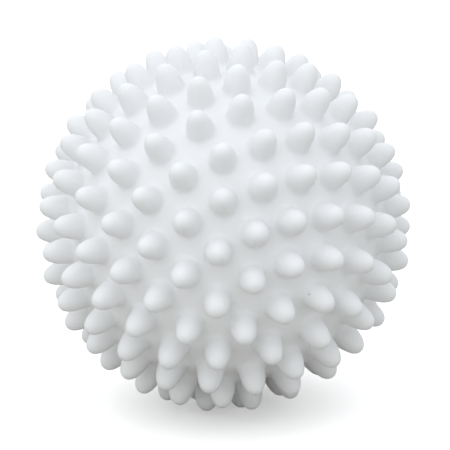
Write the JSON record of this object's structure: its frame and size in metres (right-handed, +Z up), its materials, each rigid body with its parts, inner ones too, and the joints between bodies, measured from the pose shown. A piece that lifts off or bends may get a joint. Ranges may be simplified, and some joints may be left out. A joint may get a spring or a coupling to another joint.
{
  "type": "dryer ball",
  "caption": "Hollow round ball of soft white plastic with short blunt spikes all over, for keeping laundry apart in a tumble dryer.",
  "frame": {"origin": "on the floor, right below the middle of the ball as it lies on the tips of three neighbouring spikes", "axes": "+Z up from the floor through the middle of the ball, square to the plane through the three tips it lies on; the axis of the moulding leans, and its lower pole points down towards +X and -Y"},
  "size_m": [0.0698, 0.0696, 0.0695],
  "materials": {
    "shell": "soft matte",
    "weld": "soft matte"
  },
  "bodies": {
    "root": {"lower_half_shell": "shell", "upper_half_shell": "shell", "weld_bead": "weld"}
  },
  "joints": []
}
